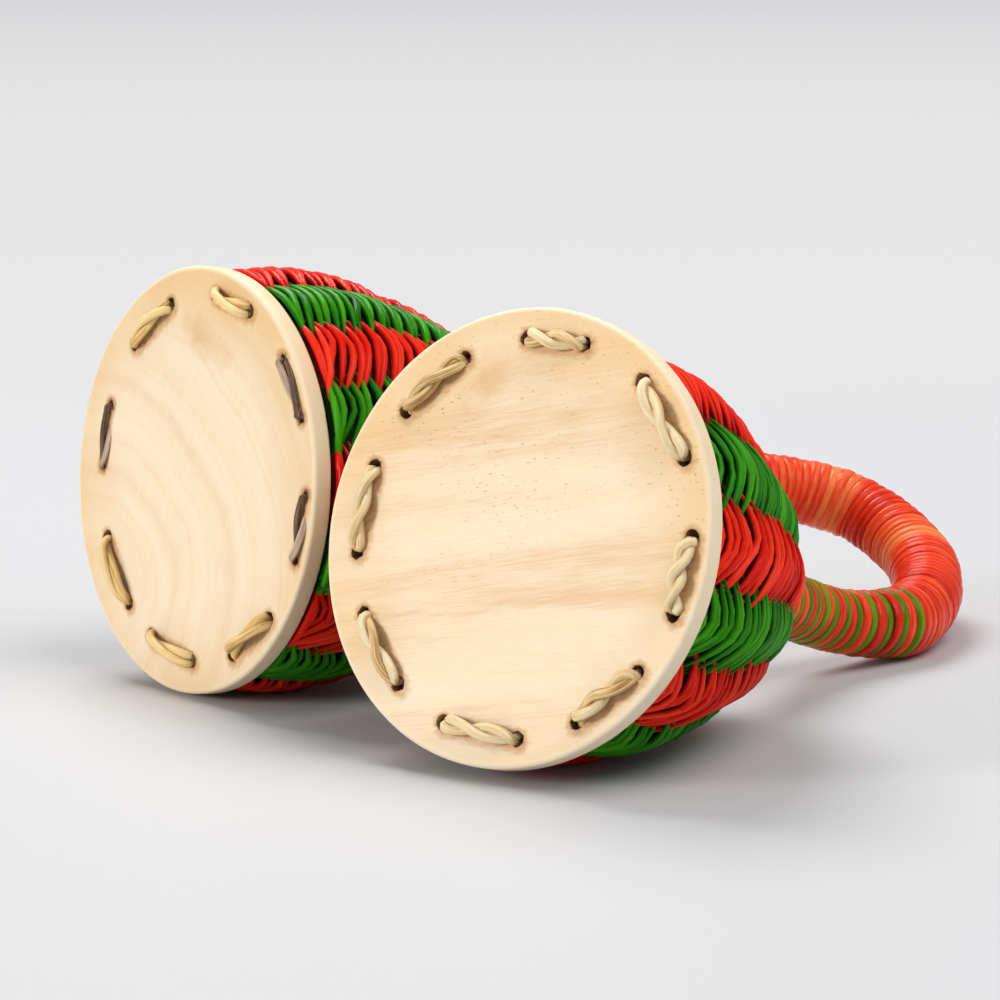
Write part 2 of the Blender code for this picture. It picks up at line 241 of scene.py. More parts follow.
strawColours = {
    "pale": ((0.36, 0.170, 0.030), (0.82, 0.585, 0.275), (0.94, 0.80, 0.54)),
    "yellow": ((0.42, 0.215, 0.042), (0.86, 0.575, 0.215), (0.93, 0.73, 0.37)),
    "stained": ((0.085, 0.040, 0.020), (0.310, 0.185, 0.115), (0.600, 0.430, 0.310)),
    "stops": (0.40, 0.57, 0.80),
    "streaks": (3.0, 11.0),
    "fineStreaks": (7.0, 34.0),
    "weights": (0.75, 0.25, 0.22),      # streak, fine streak, tone
    # painted shade on the plies: its strongest share and its golden brown tint
    "paintedShadeMost": 0.8,
    "paintedShadeTint": (0.17, 0.062, 0.008),
    "roughness": (0.45, 0.70),
    "gloss": 0.35,
    "bump": (0.8, 0.0006),
}


def strawFinish(kind):
    finish, tree, shader = newFinish(kind + "Straw")
    streak, fine = strandStreaks(tree, strawColours)
    mixed = weighted(tree, (streak, fine, attributeValue(tree, "tone")), strawColours["weights"])
    tint = colourRamp(tree, mixed, strawColours["stops"], strawColours[kind])
    # painted shade on the sides, underside and ends of each ply
    dark = mathNode(tree, "MULTIPLY", attributeValue(tree, "paintedShading"), strawColours["paintedShadeMost"])
    tint = mixColour(tree, dark, tint, strawColours["paintedShadeTint"])
    dress(tree, shader, tint, fine, mixed, strawColours, strawColours["gloss"])
    return finish


# strands: one short tube is the pattern for every float and ply

def strandPattern(sides, rings):
    shape = bmesh.new()
    bmesh.ops.create_cone(shape, cap_ends=True, segments=sides, radius1=1.0, radius2=1.0, depth=2.0)
    lengthwise = [e for e in shape.edges if abs(e.verts[0].co.z - e.verts[1].co.z) > 1.0]
    bmesh.ops.subdivide_edges(shape, edges=lengthwise, cuts=rings - 2)
    bmesh.ops.recalc_face_normals(shape, faces=shape.faces)
    shape.verts.layers.float.new("tone")
    shape.verts.layers.float.new("paintedShading")
    onStrand = shape.loops.layers.uv.new("strand")
    for face in shape.faces:
        face.smooth = True
        turns = [math.atan2(loop.vert.co.y, loop.vert.co.x) / math.tau for loop in face.loops]
        if max(turns) - min(turns) > 0.5 and len(turns) == 4:
            turns = [turn + 1.0 if turn < 0.0 else turn for turn in turns]
        for loop, turn in zip(face.loops, turns):
            loop[onStrand].uv = (0.5 + 0.5 * loop.vert.co.z, turn)
    mesh = bpy.data.meshes.new("strandPattern")
    shape.to_mesh(mesh)
    shape.free()
    spots = []
    for vert in mesh.vertices:
        ring = round((vert.co.z + 1.0) / 2.0 * (rings - 1))
        spots.append((ring, vert.co.x, vert.co.y))
    return mesh, spots


def layStrands(strands, sides, rings, dice):
    mesh, spots = strandPattern(sides, rings)
    shape = bmesh.new()
    for _ in strands:
        shape.from_mesh(mesh)
    tone = shape.verts.layers.float["tone"]
    paintedShading = shape.verts.layers.float["paintedShading"]
    onStrand = shape.loops.layers.uv["strand"]
    for number, vert in enumerate(shape.verts):
        strand, spot = divmod(number, len(spots))
        ring, sideways, outwards = spots[spot]
        middle, wide, thick, depth = strands[strand]["rings"][ring]
        vert.co = middle + wide * sideways + thick * outwards
        vert[tone] = strands[strand]["tone"]
        # painted shade on the sides and underside of each strand, and a painted highlight (a negative value)
        # along its crown
        under, crown = max(0.0, 0.5 - outwards), max(0.0, outwards - 0.5)
        vert[paintedShading] = min(1.0, depth + 0.8 * under) - 0.5 * crown
    slides = [(dice.uniform(0.0, 40.0), dice.uniform(0.0, 5.0)) for _ in strands]
    for number, face in enumerate(shape.faces):     # each strand reads its own part of the streaks
        along, around = slides[number // len(mesh.polygons)]
        for loop in face.loops:
            loop[onStrand].uv += Vector((along, around))
    bpy.data.meshes.remove(mesh)
    return shape


def bareObject(name, shape):
    mesh = bpy.data.meshes.new(name)
    shape.to_mesh(mesh)
    shape.free()
    rough = bpy.data.objects.new(name, mesh)
    bpy.context.scene.collection.objects.link(rough)
    return rough


def addPiece(name, shape, finish):
    piece = bareObject(name, shape)
    piece.data.materials.append(finish)
    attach(piece, "instrument")
    return piece


# baskets

baskets = {
    "right": {"length": 0.075, "bellyRadius": 0.0413, "discRadius": 0.0441, "discShift": (-0.0017, 0.0),
              "stakeCount": 16, "firstStakeDeg": -5.5, "seed": 21},
    "left": {"length": 0.0845, "bellyRadius": 0.0446, "discRadius": 0.0447, "discShift": (-0.0034, 0.0009),
             "stakeCount": 18, "firstStakeDeg": -3.0, "seed": 34},
}
wallOutline = ((0.0, 0.975), (0.12, 1.0), (0.25, 0.985), (0.40, 0.910), (0.55, 0.815), (0.70, 0.690),
               (0.85, 0.475), (1.0, 0.226))
discThickness = 0.0044
wallSteps = 400


def stepAt(spots, value):       # the number of the step that holds this value
    return min(max(bisect.bisect_right(spots, value) - 1, 0), len(spots) - 2)


def outlineShare(along):
    slopes = []
    for number in range(len(wallOutline)):
        before = wallOutline[max(0, number - 1)]
        after = wallOutline[min(len(wallOutline) - 1, number + 1)]
        slopes.append((after[1] - before[1]) / (after[0] - before[0]))
    along = min(max(along, 0.0), 1.0)
    number = stepAt([spot for spot, _ in wallOutline], along)
    (start, low), (end, high) = wallOutline[number], wallOutline[number + 1]
    run = end - start
    t = (along - start) / run
    rise = (2 * t ** 3 - 3 * t ** 2 + 1) * low + (3 * t ** 2 - 2 * t ** 3) * high
    return rise + run * ((t ** 3 - 2 * t ** 2 + t) * slopes[number] + (t ** 3 - t ** 2) * slopes[number + 1])


class BasketWall:
    def __init__(self, side):
        self.side = side
        self.basket = baskets[side]
        mounts = {mount["name"]: mount for mount in frame["record"]["mounts"]}
        face = mounts[side + "_base_face"]
        self.toTip = -Vector(face["axis"]).normalized()
        self.across = Vector((self.toTip.y, -self.toTip.x, 0.0)).normalized()
        self.down = self.toTip.cross(self.across)
        shiftX, shiftY = self.basket["discShift"]
        self.foot = Vector(face["pos_m"]) - self.across * shiftX - self.down * shiftY
        self.foot += self.toTip * discThickness
        self.turn = Matrix((self.across, self.down, self.toTip)).transposed()
        self.runs, self.heights, self.radii = [0.0], [0.0], [self.radiusAt(0.0)]
        for step in range(1, wallSteps + 1):
            height = self.basket["length"] * step / wallSteps
            radius = self.radiusAt(height)
            self.runs.append(self.runs[-1] + math.hypot(height - self.heights[-1], radius - self.radii[-1]))
            self.heights.append(height)
            self.radii.append(radius)

    def radiusAt(self, height):
        return self.basket["bellyRadius"] * outlineShare(height / self.basket["length"])

    def level(self, run):      # height, radius and slope where the wall has run this far from the base
        number = stepAt(self.runs, run)
        step = self.runs[number + 1] - self.runs[number]
        climb = (self.heights[number + 1] - self.heights[number]) / step
        swell = (self.radii[number + 1] - self.radii[number]) / step
        past = run - self.runs[number]
        return self.heights[number] + climb * past, self.radii[number] + swell * past, climb, swell

    def place(self, x, y, z):
        return self.foot + self.across * x + self.down * y + self.toTip * z

    def spot(self, angle, run, lift=0.0):
        height, radius, climb, swell = self.level(run)
        radius += lift * climb
        height -= lift * swell
        return self.place(radius * math.cos(angle), radius * math.sin(angle), height)

    def outwards(self, angle, run):
        _, _, climb, swell = self.level(run)
        flat = self.across * math.cos(angle) + self.down * math.sin(angle)
        return flat * climb - self.toTip * swell


twining = {
    "footRun": 0.0009,      # the lowest row lies level along the base
    "firstRun": 0.0012,
    "kneeRound": 0.22,
    "dive": 0.0021,
    "diveCurve": 1.8,
    "rings": 10,
    "sides": 7,
    "tuckShare": 0.4,       # strands that meet the base sink below that row
    "tuckMost": 0.0030,
    "upperRise": 0.0060,
    "lowerRise": 0.0130,
    "leanDeg": 45.0,        # the floats bend most on this side of a basket
    "leanLeast": 0.2,
    "tipWidth": 0.72,       # what is left of the full size at a basket's tip
    "tipThickness": 0.78,
    "tipLean": 0.42,
    "pointFrom": 0.25,      # along half a float
    "pointSlim": 0.86,
    "pointThin": 0.4,
    # painted shade towards a float's ends, where it dives under its neighbours, starts this far along half a
    # float
    "paintedShadeFrom": 0.35,
    "lift": 0.0002,
    "alternateLift": 0.0006,
    "sway": 0.00022,
    "swayWaves": 5.0,
    "angleDrift": 0.045,    # in spaces between stakes
    "runDrift": 0.00028,
    "widthSpread": (0.86, 1.16),
    "thicknessSpread": (0.88, 1.12),
    "upperSpread": (0.80, 1.20),
    "lowerSpread": (0.84, 1.16),
    "reachSpread": (0.94, 1.07),
    # reach is half a float, in spaces between stakes
    "right": {"rowPitch": 0.0020, "reach": 0.72, "width": 0.00150, "thickness": 0.00160,
              "uneven": 0.00022, "kneeAt": -0.08, "alternate": 0.10,
              "shiftDeg": {12: -5.0, 13: -13.0, 14: -6.0}},
    "left": {"rowPitch": 0.0021, "reach": 0.77, "width": 0.00166, "thickness": 0.00195,
             "uneven": 0.00022, "kneeAt": -0.20, "alternate": 0.11, "shiftDeg": {13: -6.0, 14: -2.5}},
    "backingDepth": 0.0021,
    "backingThickness": 0.0006,
    "backingRows": 24,
    "backingSides": 144,
    "rimRadius": 0.0350,    # the rim is turned in behind the base
    "rimFrom": 0.0004,
    "rimTo": 0.0026,
}


def tapered(least, share):
    return least + (1.0 - least) * share


def layFloat(wall, stake, row, dice):
    basket = wall.basket
    strand = twining[wall.side]
    step = math.tau / basket["stakeCount"]
    middleAngle = math.radians(basket["firstStakeDeg"] + strand["shiftDeg"].get(stake, 0.0))
    middleAngle += step * (stake + dice.gauss(0.0, twining["angleDrift"]))
    spiral = strand["rowPitch"] * (row + stake / basket["stakeCount"])
    middleRun = twining["firstRun"] + spiral + dice.gauss(0.0, twining["runDrift"])
    if row < 0:
        middleRun = twining["footRun"]
    _, radius, _, _ = wall.level(middleRun)
    girth = radius / basket["bellyRadius"]
    width = strand["width"] * tapered(twining["tipWidth"], girth) * dice.uniform(*twining["widthSpread"])
    thickness = strand["thickness"] * tapered(twining["tipThickness"], girth)
    thickness *= dice.uniform(*twining["thicknessSpread"])
    facing = 0.5 + 0.5 * math.cos(middleAngle - math.radians(twining["leanDeg"]))
    lean = tapered(twining["leanLeast"], facing ** 3)
    odd = 1.0 if row % 2 else -1.0
    steep = 0.0
    if row >= 0:
        steep = lean * tapered(twining["tipLean"], girth) * (1.0 + odd * strand["alternate"])
    rises = (steep * twining["upperRise"] * dice.uniform(*twining["upperSpread"]),
             steep * twining["lowerRise"] * dice.uniform(*twining["lowerSpread"]))
    knee = twining["kneeRound"]
    reach = strand["reach"] * dice.uniform(*twining["reachSpread"])
    lifted = dice.gauss(0.0, strand["uneven"]) - twining["alternateLift"] * odd * strand["alternate"]
    sway = dice.gauss(0.0, twining["sway"])
    phase = dice.uniform(0.0, math.tau)

    def runAt(t):
        past = t - strand["kneeAt"]
        back = (math.hypot(past, knee) - knee) / (math.hypot(1.0, knee) - knee)
        swing = sway * math.sin(twining["swayWaves"] * t + phase)
        return middleRun - back * (rises[0] if past < 0.0 else rises[1]) + swing

    def pathAt(t):
        run = runAt(t)
        lift = lifted + twining["lift"] - 0.5 * thickness - twining["dive"] * abs(t) ** twining["diveCurve"]
        lift -= min(twining["tuckMost"], twining["tuckShare"] * max(0.0, twining["footRun"] - run))
        angle = middleAngle + t * reach * step
        run = max(run, twining["footRun"])
        return wall.spot(angle, run, lift), wall.outwards(angle, run)

    rings = []
    for number in range(twining["rings"]):
        t = -1.0 + 2.0 * number / (twining["rings"] - 1)
        middle, outwards = pathAt(t)
        ahead = pathAt(min(1.0, t + 0.05))[0] - pathAt(max(-1.0, t - 0.05))[0]
        wide = outwards.cross(ahead).normalized()
        thick = ahead.cross(wide).normalized()
        point = max(0.0, abs(t) - twining["pointFrom"]) / (1.0 - twining["pointFrom"])
        slim = 1.0 - twining["pointSlim"] * point ** 1.5
        thin = 1.0 - twining["pointThin"] * point
        # painted shade grows towards the ends, where the float dives under its neighbours
        depth = (max(0.0, abs(t) - twining["paintedShadeFrom"]) / (1.0 - twining["paintedShadeFrom"])) ** 1.5
        rings.append((middle, wide * (0.5 * width * slim), thick * (0.5 * thickness * thin), depth))
    return {"rings": rings, "tone": dice.random()}


def weaveBasket(wall, finishes):
    dice = random.Random(wall.basket["seed"])
    pitch = twining[wall.side]["rowPitch"]
    rows = int((wall.runs[-1] - twining["firstRun"]) / pitch)
    bands = {"red": [], "green": []}
    for row in range(-1, rows):
        for stake in range(wall.basket["stakeCount"]):
            bands["green" if stake % 2 else "red"].append(layFloat(wall, stake, row, dice))
    for colour, strands in bands.items():
        shape = layStrands(strands, twining["sides"], twining["rings"], dice)
        piece = addPiece(wall.side + "Weave." + colour, shape, finishes[colour])
        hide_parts(wall.side + "_basket")
    print(wall.side, "basket:", rows, "rows,", sum(len(s) for s in bands.values()), "floats")


def backBasket(wall, finish):
    shape = bmesh.new()
    depth = twining["backingDepth"]
    inner = depth + twining["backingThickness"]
    rows = twining["backingRows"]
    runs = [wall.runs[-1] * step / rows for step in range(1, rows + 1)]
    rim, low, high = twining["rimRadius"], twining["rimFrom"], twining["rimTo"]
    outline = [wall.place(rim, 0.0, low), wall.place(wall.radii[0] - depth, 0.0, low)]
    outline += [wall.spot(0.0, run, -depth) for run in runs]
    outline += [wall.spot(0.0, run, -inner) for run in reversed(runs)]
    outline += [wall.place(wall.radii[0] - inner, 0.0, high), wall.place(rim, 0.0, high)]
    verts = [shape.verts.new(point) for point in outline]
    edges = [shape.edges.new((verts[n - 1], verts[n])) for n in range(len(verts))]
    bmesh.ops.spin(shape, geom=verts + edges, cent=wall.foot, axis=wall.toTip, angle=math.tau,
                   steps=twining["backingSides"], use_merge=True, use_duplicate=False)
    bmesh.ops.remove_doubles(shape, verts=shape.verts, dist=0.00001)
    bmesh.ops.recalc_face_normals(shape, faces=shape.faces)
    band = shape.verts.layers.float.new("band")
    firstStake = math.radians(wall.basket["firstStakeDeg"])
    for vert in shape.verts:        # 0 under a red band, 1 under a green one
        gap = vert.co - wall.foot
        turn = math.atan2(gap.dot(wall.down), gap.dot(wall.across)) - firstStake
        vert[band] = 0.5 - 0.5 * math.cos(0.5 * turn * wall.basket["stakeCount"])
    for face in shape.faces:
        face.smooth = True
    addPiece(wall.side + "Weave.ground", shape, finish)


# the backing stands in for the strands behind the stakes; its colours are painted shade, as dark as those
# strands look in shade
groundColours = {
    "red": ((0.030, 0.0010, 0.0005), (0.150, 0.004, 0.002)),
    "green": ((0.001, 0.007, 0.0005), (0.004, 0.030, 0.001)),
    "stops": (0.35, 0.70),
    "patchScale": 420.0,
    "roughness": 0.8,
    "gloss": 0.1,
    "bump": (0.5, 0.0006),
}


def groundFinish():
    finish, tree, shader = newFinish("shadedGrassGround")
    onPiece = addNode(tree, "ShaderNodeTexCoord").outputs["Object"]
    patch = noiseNode(tree, onPiece, groundColours["patchScale"], 4.0, 0.6)
    reds = colourRamp(tree, patch, groundColours["stops"], groundColours["red"])
    greens = colourRamp(tree, patch, groundColours["stops"], groundColours["green"])
    inGreen = greyRamp(tree, attributeValue(tree, "band"), 0.44, 0.56)
    tree.links.new(mixColour(tree, inGreen, reds, greens), shader.inputs["Base Color"])
    shader.inputs["Roughness"].default_value = groundColours["roughness"]
    shader.inputs["Specular IOR Level"].default_value = groundColours["gloss"]
    addBump(tree, shader, patch, *groundColours["bump"])
    return finish


walls = {side: BasketWall(side) for side in baskets}
grasses = {colour: dyedGrass(colour) for colour in ("red", "green", "handleRed", "handleGreen")}
ground = groundFinish()
for wall in walls.values():
    weaveBasket(wall, grasses)
    backBasket(wall, ground)


# wooden bases

bases = {
    "segments": 192,
    "edgeRound": 0.0009,
    "faceRings": 14,
    "faceRingWidth": 0.0011,
    "unevenFrom": 0.003,        # the edge is cut by hand, so not a perfect round
    "unevenScale": 45.0,
    "uneven": 0.0045,
    "stitchCircle": 0.0383,
    "holeRadius": 0.00125,
    "holeSides": 12,
    "holeEnds": (1.25, 0.85),   # wider at the face than behind it
    "drillLength": 0.008,
    "holeSpread": (0.92, 1.12),
    "holeRagged": (0.86, 1.16),
    "tornHole": 0.6,
    "holeStain": 0.0010,
    "tornStainAndShade": (0.0004, 0.0012, 1.0),     # half width, fading edge and strength of the dark line along each torn stitch: partly stain, partly painted shade of the slit the stitch lies in
    "paintedStitchShadow": (0.0012, 0.0013, 0.78),     # a warm shadow painted on the wood beside each stitch, moved right and down to where the shadow falls
    "paintedShadowShift": (0.0007, 0.0006),
    # wood is the colour of dark, middle and light grain
    "right": {"stitchDeg": (-133.0, -88.5, -41.5, 5.5, 47.5, 93.0, 139.0, 183.0),
              "stitchSpan": (16.5, 13.5, 18.0, 14.5, 16.0, 17.5, 16.5, 17.0), "grainDeg": -12.0, "seed": 5,
              "wood": ((0.80, 0.53, 0.285), (0.90, 0.695, 0.455), (0.92, 0.755, 0.535)),
              "grainStops": (0.36, 0.485, 0.61), "honey": (0.84, 0.560, 0.245), "honeyFrom": 0.52,
              "honeyTo": 0.80, "paintedTopShade": 2.4, "poreMost": 0.7, "rim": (0.93, 0.80, 0.61),
              "smear": (-0.0125, -0.0300, 0.0130, 0.0062, -38.0)},
    "left": {"stitchDeg": (-126.5, -79.0, -35.0, 9.0, 53.5, 100.0, 141.5, 187.5),
             "stitchSpan": (16.0, 13.0, 14.0, 13.5, 15.5, 16.5, 16.5, 13.5), "grainDeg": -70.0, "seed": 8,
             "wood": ((0.80, 0.565, 0.33), (0.90, 0.720, 0.50), (0.92, 0.775, 0.58)),
             "grainStops": (0.29, 0.485, 0.68), "honey": (0.81, 0.530, 0.225), "honeyFrom": 0.52,
             "honeyTo": 0.76, "paintedTopShade": 1.3, "poreMost": 0.3, "rim": (0.92, 0.75, 0.52),
             "smear": (-0.0020, -0.0290, 0.0150, 0.0058, 14.0)},
}


stitches = {
    "rise": 0.00175,
    "plyWidth": 0.00195,
    "plyThickness": 0.00185,
    "plyApart": 0.00095,
    "inset": 0.0008,        # a stitch leaves the outer side of its holes open
    "rings": 25,
    "sides": 10,
    "seedStep": 40,
    "riseSpread": (0.92, 1.15),
    "sizeSpread": (0.94, 1.06),
    "twistSpread": (0.7, 1.3),
    # how far in from each end the painted shade on a stitch reaches
    "paintedShadeEnd": 0.24,
    "tornRise": 0.10,
    "tornSize": 1.10,
    "tornFlat": 0.45,
    "tornNarrow": 0.75,
    "tornPaintedShadeEnd": 0.34,
    "tornTones": (-0.3, 1.0),       # one torn edge is dark, the other is bare
    "profile": ((0.0, -0.0030), (0.0, -0.0012), (0.02, 0.0003), (0.14, 0.75), (0.34, 0.97), (0.5, 1.0),
                (0.66, 0.97), (0.86, 0.75), (0.98, 0.0003), (1.0, -0.0012), (1.0, -0.0030)),
    "right": {"straw": "pale", "twist": 1.95, "stained": ()},
    "left": {"straw": "yellow", "twist": 0.80, "stained": (3, 4, 8)},
}


def holePairs(side):
    radius = bases["stitchCircle"]
    pairs = []
    for middle, span in zip(bases[side]["stitchDeg"], bases[side]["stitchSpan"]):      # spans in mm
        half = math.asin(0.0005 * span / radius)
        ends = (math.radians(middle) - half, math.radians(middle) + half)
        pairs.append([Vector((radius * math.cos(end), radius * math.sin(end))) for end in ends])
    return pairs


woodGrain = {
    "driftScale": 38.0,
    "boards": (7.0, 78.0, 40.0),        # the right base, cut along the grain
    "heart": (0.036, -0.030, 0.0),      # the left base, with ring lines that bow up and to the right
    "heartStretch": (1.0, 1.2, 0.3),
    "ringWave": 0.012,
    "ringWaveScale": 30.0,
    "ringScale": 190.0,
    "fibre": (130.0, 2300.0, 900.0),
    "shares": (0.72, 0.28),     # broad grain and fibre
    "honeyDrift": 0.42,
    "honeyMost": 0.85,
    "cloudScale": 150.0,
    "smear": (0.52, 0.98, 0.75, 0.0),       # from, to and the strength at both
    "smearColour": (0.73, 0.45, 0.20),
    "smearFade": 0.6,
    "pores": (700.0, 1900.0, 900.0),
    "poreEdge": (0.655, 0.69),
    "poreArea": (0.48, 0.72),
    "poreTop": 5.0,
    "poreColour": (0.46, 0.23, 0.085),
    "rim": (0.486, 0.494, 0.0, 0.70),       # the rim is paler than the face: partly sanded wood, partly a painted highlight along the edge
    "sawn": (0.35, 1.45),
    "torn": (500.0, 1100.0, 500.0),
    "tornPatch": 0.75,
    "halo": (0.20, 0.90, 0.0, 0.82),
    "haloColour": (0.50, 0.225, 0.045),
    "scorch": (0.86, 1.0, 0.0, 0.80),
    "scorchColour": (0.15, 0.062, 0.022),
    "roughness": (0.62, 0.48),
    "gloss": 0.4,
    "relief": (0.5, -0.5),      # fibre stands out, pores are sunk
    "bump": (0.35, 0.0003),
}


def ringLines(tree, level):
    toHeart = lengthOf(tree, stretched(tree, level, woodGrain["heartStretch"], woodGrain["heart"]))
    wavy = noiseNode(tree, level, woodGrain["ringWaveScale"], 2.0, 0.5)
    ringSpot = addNode(tree, "ShaderNodeCombineXYZ")
    out = mathNode(tree, "ADD", toHeart, mathNode(tree, "MULTIPLY", wavy, woodGrain["ringWave"]))
    tree.links.new(out, ringSpot.inputs["X"])
    return noiseNode(tree, ringSpot.outputs["Vector"], woodGrain["ringScale"], 4.0, 0.55)


def woodFinish(wall):
    shades = bases[wall.side]
    finish, tree, shader = newFinish(wall.side + "PaleWood")
    onPiece = addNode(tree, "ShaderNodeTexCoord").outputs["Object"]
    level = stretched(tree, onPiece, (1.0, 1.0, 1.0), wall.foot, wall.turn.to_euler(), "TEXTURE")
    grain = math.radians(shades["grainDeg"])
    lined = stretched(tree, level, (1.0, 1.0, 1.0), (0, 0, 0), (0, 0, -grain))
    drift = noiseNode(tree, lined, woodGrain["driftScale"], 2.0, 0.5)
    cloudy = noiseNode(tree, lined, woodGrain["cloudScale"], 3.0, 0.6)
    if wall.side == "right":
        broad = noiseNode(tree, stretched(tree, lined, woodGrain["boards"]), 1.0, 3.5, 0.55, 0.7)
    else:
        broad = ringLines(tree, level)
    fibre = noiseNode(tree, stretched(tree, lined, woodGrain["fibre"]), 1.0, 3.0, 0.6)
    share = weighted(tree, (broad, fibre), woodGrain["shares"])
    tint = colourRamp(tree, share, shades["grainStops"], shades["wood"])

    # a honey tint towards the rim, and painted shade that deepens the same tint towards the top of each
    # base; then a brown smear near the top
    shiftX, shiftY = wall.basket["discShift"]
    centred = stretched(tree, level, (1.0, 1.0, 0.0), (-shiftX, -shiftY, 0.0))
    toRim = mathNode(tree, "DIVIDE", lengthOf(tree, centred), 2.0 * wall.basket["discRadius"])
    spotOnFace = addNode(tree, "ShaderNodeSeparateXYZ")
    tree.links.new(level, spotOnFace.inputs["Vector"])
    below = spotOnFace.outputs["Y"]
    # painted shade: the honey tint grows towards the top of the base
    towardsRimAndTop = weighted(tree, (toRim, drift, below), (1.0, woodGrain["honeyDrift"], -shades["paintedTopShade"]))
    rimHoneyAndTopShade = greyRamp(tree, towardsRimAndTop, shades["honeyFrom"], shades["honeyTo"], 0.0, woodGrain["honeyMost"])
    tint = mixColour(tree, rimHoneyAndTopShade, tint, shades["honey"])
    x, y, halfLong, halfWide, turnDeg = shades["smear"]
    onSmear = stretched(tree, level, (halfLong, halfWide, 1.0), (x, y, 0.0),
                        (0, 0, math.radians(turnDeg)), "TEXTURE")
    faded = weighted(tree, (lengthOf(tree, onSmear), cloudy), (woodGrain["smearFade"], 1.0))
    tint = mixColour(tree, greyRamp(tree, faded, *woodGrain["smear"]), tint, woodGrain["smearColour"])

    # pores, the rim (partly a painted highlight), and the stains round the stitches with the painted shadow
    # beside them
    pores = noiseNode(tree, stretched(tree, lined, woodGrain["pores"]), 1.0, 2.0, 0.5)
    upper = weighted(tree, (drift, below), (1.0, -woodGrain["poreTop"]))
    most = shades["poreMost"]
    poreArea = greyRamp(tree, upper, *woodGrain["poreArea"], 0.10 * most, most)
    flecks = mathNode(tree, "MULTIPLY", greyRamp(tree, pores, *woodGrain["poreEdge"]), poreArea)
    tint = mixColour(tree, flecks, tint, woodGrain["poreColour"])
    sawn = spread(tree, cloudy, *woodGrain["sawn"])
    # the paler rim: partly sanded wood, partly a painted highlight along the edge
    onRim = mathNode(tree, "MULTIPLY", greyRamp(tree, toRim, *woodGrain["rim"]), sawn, True)
    tint = mixColour(tree, onRim, tint, shades["rim"])
    patchy = noiseNode(tree, stretched(tree, lined, woodGrain["torn"]), 1.0, 3.0, 0.6)
    patchy = mathNode(tree, "SUBTRACT", patchy, 0.5)
    # the stain attribute holds the stains round the holes and torn stitches, and the painted shadow beside
    # the other stitches
    torn = weighted(tree, (attributeValue(tree, "stainAndShadow"), patchy), (1.0, woodGrain["tornPatch"]))
    for stainAndShadow in ("halo", "scorch"):
        tint = mixColour(tree, greyRamp(tree, torn, *woodGrain[stainAndShadow]), tint, woodGrain[stainAndShadow + "Colour"])
    relief = weighted(tree, (fibre, flecks), woodGrain["relief"])
    dress(tree, shader, tint, share, relief, woodGrain, woodGrain["gloss"])
    return finish


def blankDisc(wall):
    radius = wall.basket["discRadius"]
    shape = bmesh.new()
    bmesh.ops.create_circle(shape, cap_ends=True, segments=bases["segments"], radius=radius)
    grown = bmesh.ops.extrude_face_region(shape, geom=shape.faces[:])
    lifted = [item for item in grown["geom"] if isinstance(item, bmesh.types.BMVert)]
    bmesh.ops.translate(shape, verts=lifted, vec=(0.0, 0.0, -discThickness))
    bmesh.ops.recalc_face_normals(shape, faces=shape.faces)
    rims = [e for e in shape.edges if abs(e.verts[0].co.z - e.verts[1].co.z) < 0.0001]
    bmesh.ops.bevel(shape, geom=rims, offset=bases["edgeRound"], affect="EDGES", segments=4, profile=0.5,
                    material=-1)
    front = min((f for f in shape.faces if len(f.verts) > 8), key=lambda f: f.calc_center_median().z)
    for _ in range(bases["faceRings"]):
        bmesh.ops.inset_region(shape, faces=[front], thickness=bases["faceRingWidth"], use_even_offset=True)
    for face in shape.faces:
        face.smooth = len(face.verts) == 4 and abs(face.normal.z) < 0.999
    scale, seed = bases["unevenScale"], bases[wall.side]["seed"]
    shiftX, shiftY = wall.basket["discShift"]
    for vert in shape.verts:
        if vert.co.xy.length > radius - bases["unevenFrom"]:
            wander = noise.noise(Vector((vert.co.x * scale, vert.co.y * scale, seed)))
            vert.co.xy *= 1.0 + bases["uneven"] * wander
        vert.co = wall.place(vert.co.x + shiftX, vert.co.y + shiftY, vert.co.z)
    return bareObject(wall.side + "Disc.blank", shape)


def discDrill(wall):
    dice = random.Random(bases[wall.side]["seed"])
    atFace, behind = bases["holeEnds"]
    cuts = bmesh.new()
    for number, pair in enumerate(holePairs(wall.side), 1):
        for hole in pair:
            made = bmesh.ops.create_cone(cuts, cap_ends=True, segments=bases["holeSides"], radius1=atFace,
                                         radius2=behind, depth=bases["drillLength"])
            size = bases["holeRadius"] * dice.uniform(*bases["holeSpread"])
            if number in stitches[wall.side]["stained"]:
                size *= bases["tornHole"]
            for vert in made["verts"]:
                ragged = size * dice.uniform(*bases["holeRagged"])
                x = hole.x + vert.co.x * ragged
                y = hole.y + vert.co.y * ragged
                vert.co = wall.place(x, y, vert.co.z - 0.5 * discThickness)
    bmesh.ops.triangulate(cuts, faces=cuts.faces)       # flat sides cut clean edges
    bmesh.ops.recalc_face_normals(cuts, faces=cuts.faces)
    return bareObject(wall.side + "Disc.drill", cuts)


